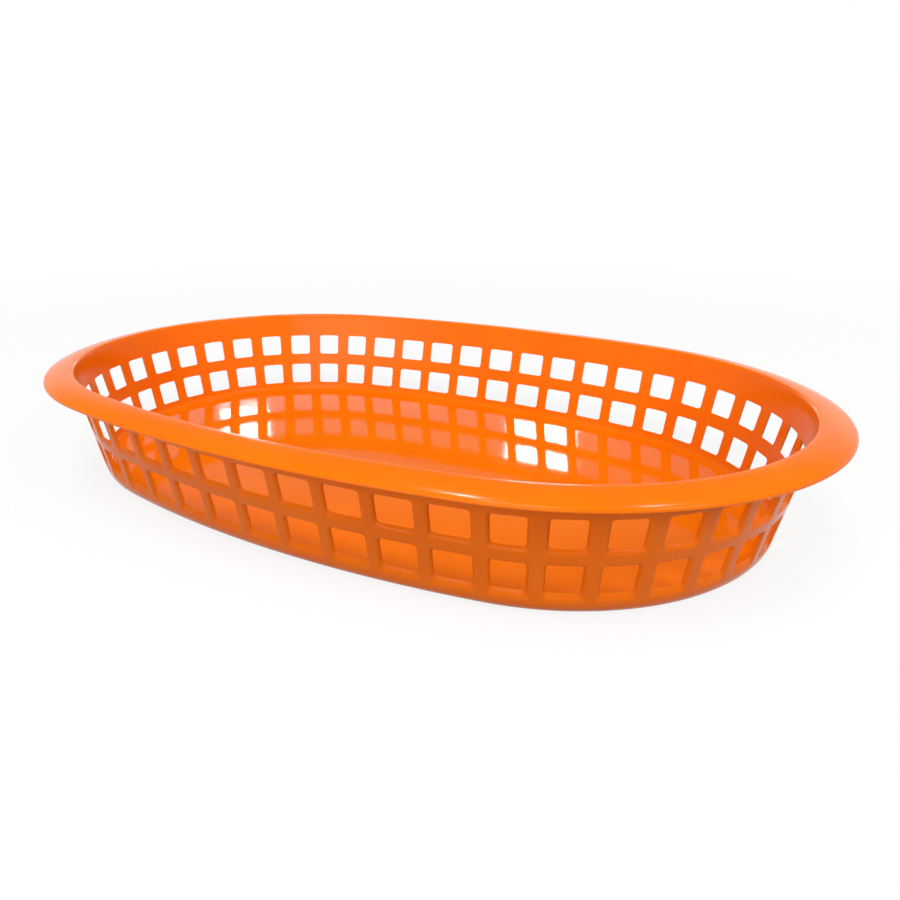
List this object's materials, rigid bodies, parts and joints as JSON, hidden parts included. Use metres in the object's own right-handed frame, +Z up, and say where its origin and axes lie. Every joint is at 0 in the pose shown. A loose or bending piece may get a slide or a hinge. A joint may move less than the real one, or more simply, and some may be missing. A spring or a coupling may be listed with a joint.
{
  "type": "fast food basket",
  "caption": "Shallow oval plastic basket with a pierced sloping wall, a broad rolled rim and a solid flat floor, for serving food on paper.",
  "frame": {"origin": "centre of the base, on the plane that the foot of the basket stands on", "axes": "+X along the length of the oval, +Y along its width, +Z up out of the open top"},
  "size_m": [0.2666, 0.1784, 0.037],
  "materials": {
    "orange_plastic": "injection-moulded orange polypropylene, smooth and glossy"
  },
  "bodies": {
    "root": {"basket": "orange_plastic"}
  },
  "joints": []
}
